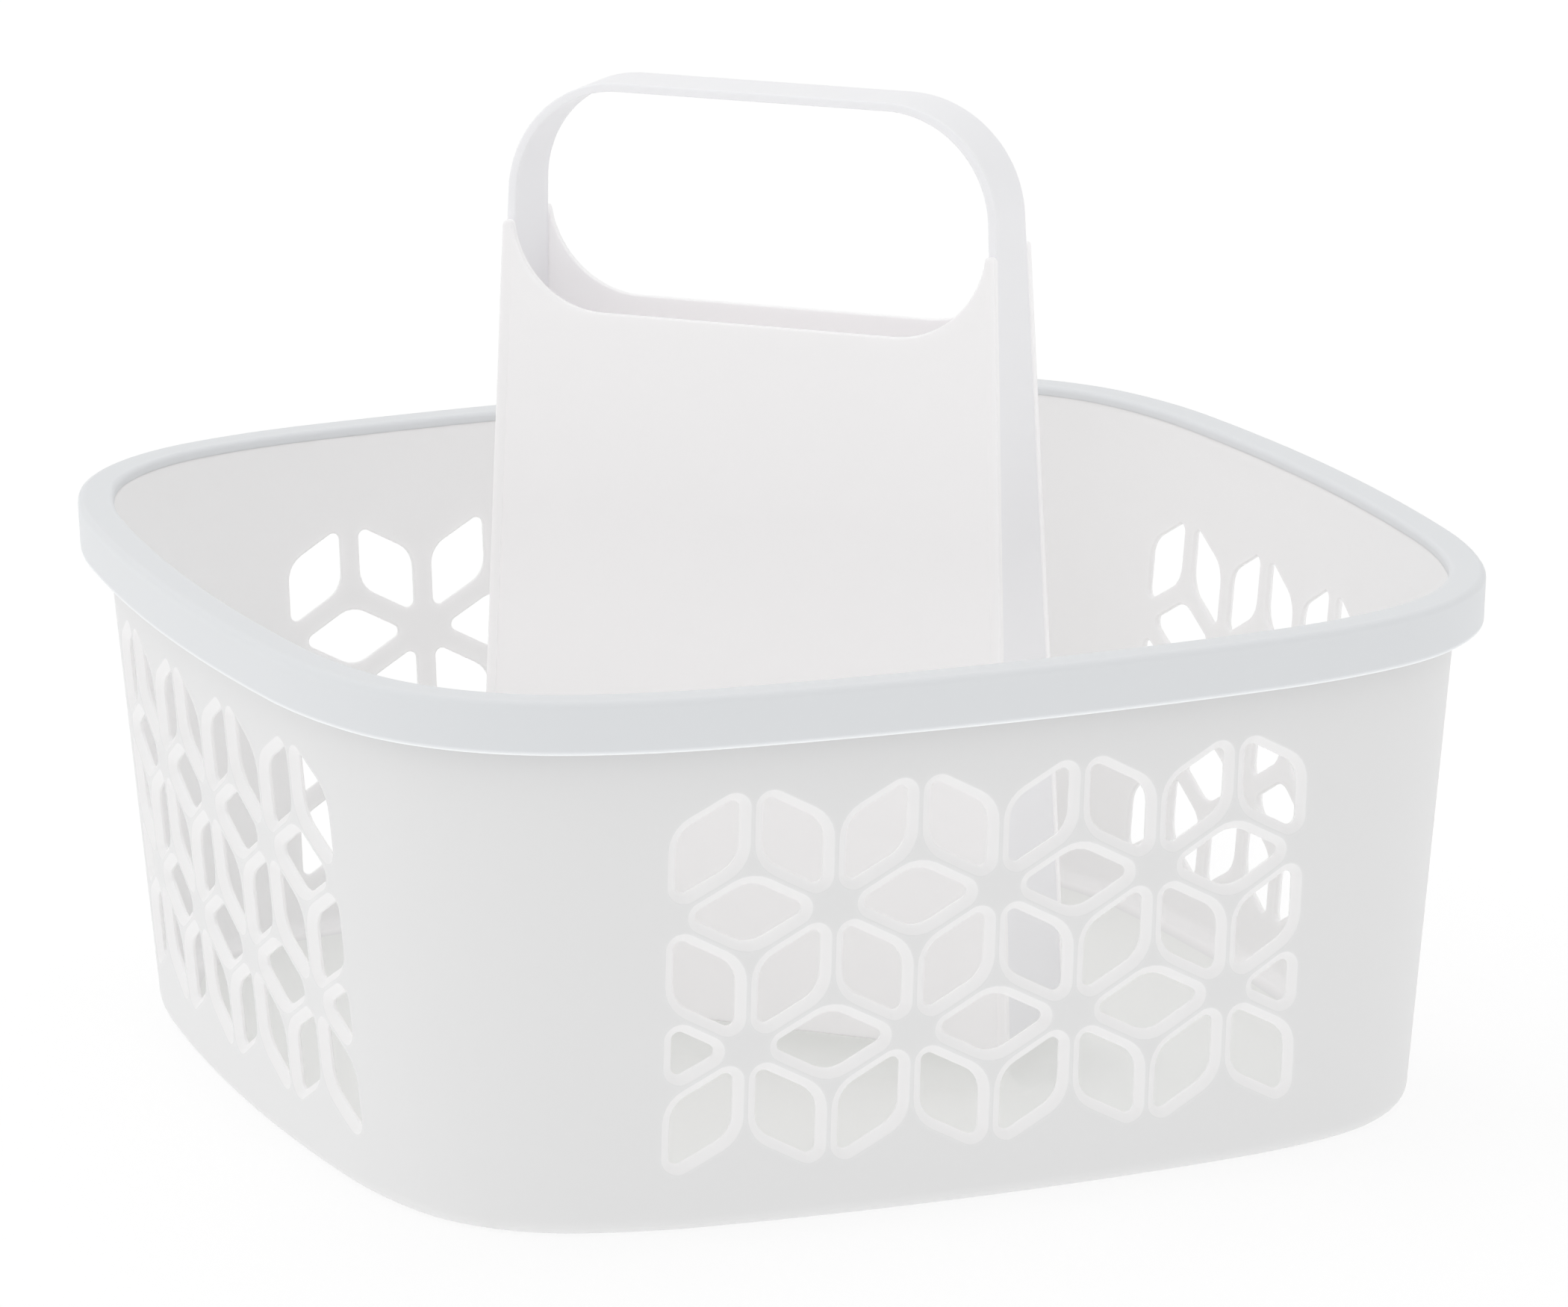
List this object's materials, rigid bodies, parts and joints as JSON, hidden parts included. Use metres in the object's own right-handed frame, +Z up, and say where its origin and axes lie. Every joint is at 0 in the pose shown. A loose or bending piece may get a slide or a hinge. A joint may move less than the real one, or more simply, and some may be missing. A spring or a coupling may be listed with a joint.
{
  "type": "shower caddy",
  "caption": "Square frosted plastic shower caddy with bowed perforated sides, rolled rim and a diagonal hollow tower with a strap handle.",
  "frame": {"origin": "middle of the underside of the base, on the surface it stands on", "axes": "+Z up; the four bowed sides face +X, -X, +Y and -Y; the handle runs from the -X+Y corner to the +X-Y corner"},
  "size_m": [0.2798, 0.2798, 0.2164],
  "materials": {
    "frosted_plastic": "satin frosted, slightly translucent polypropylene"
  },
  "bodies": {
    "root": {"basket_wall": "frosted_plastic", "basket_floor": "frosted_plastic", "rolled_rim": "frosted_plastic", "tower_front_panel": "frosted_plastic", "tower_back_panel": "frosted_plastic", "handle_strap": "frosted_plastic"}
  },
  "joints": []
}
